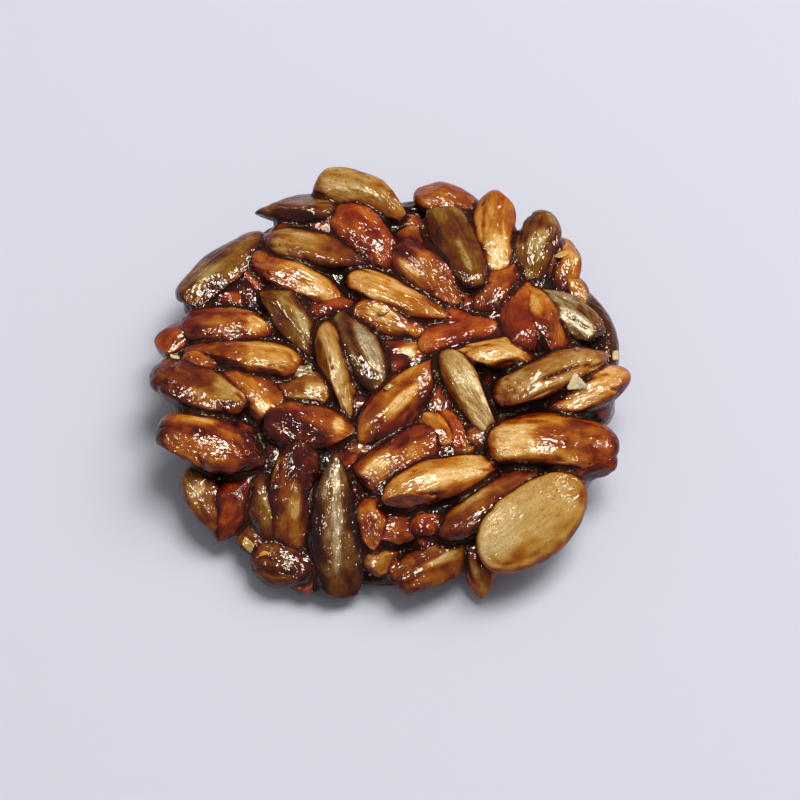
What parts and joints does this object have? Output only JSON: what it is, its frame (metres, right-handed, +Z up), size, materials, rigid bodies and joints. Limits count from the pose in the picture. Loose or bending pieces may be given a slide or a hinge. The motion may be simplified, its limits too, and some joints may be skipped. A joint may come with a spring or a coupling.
{
  "type": "pumpkin seed brittle",
  "caption": "Round sweet of hulled pumpkin seeds set at all angles in dark glossy caramel, uneven on top and at the rim, flat beneath.",
  "frame": {"origin": "middle of the round's outline, on the flat face that it rests on", "axes": "+Z up through the flat round, -Y towards the viewer of the picture, +X to that viewer's right"},
  "size_m": [0.0597, 0.0583, 0.0103],
  "materials": {
    "brittle": "glossy set caramel with seeds from golden yellow to olive brown"
  },
  "bodies": {
    "root": {"brittle": "brittle"}
  },
  "joints": []
}
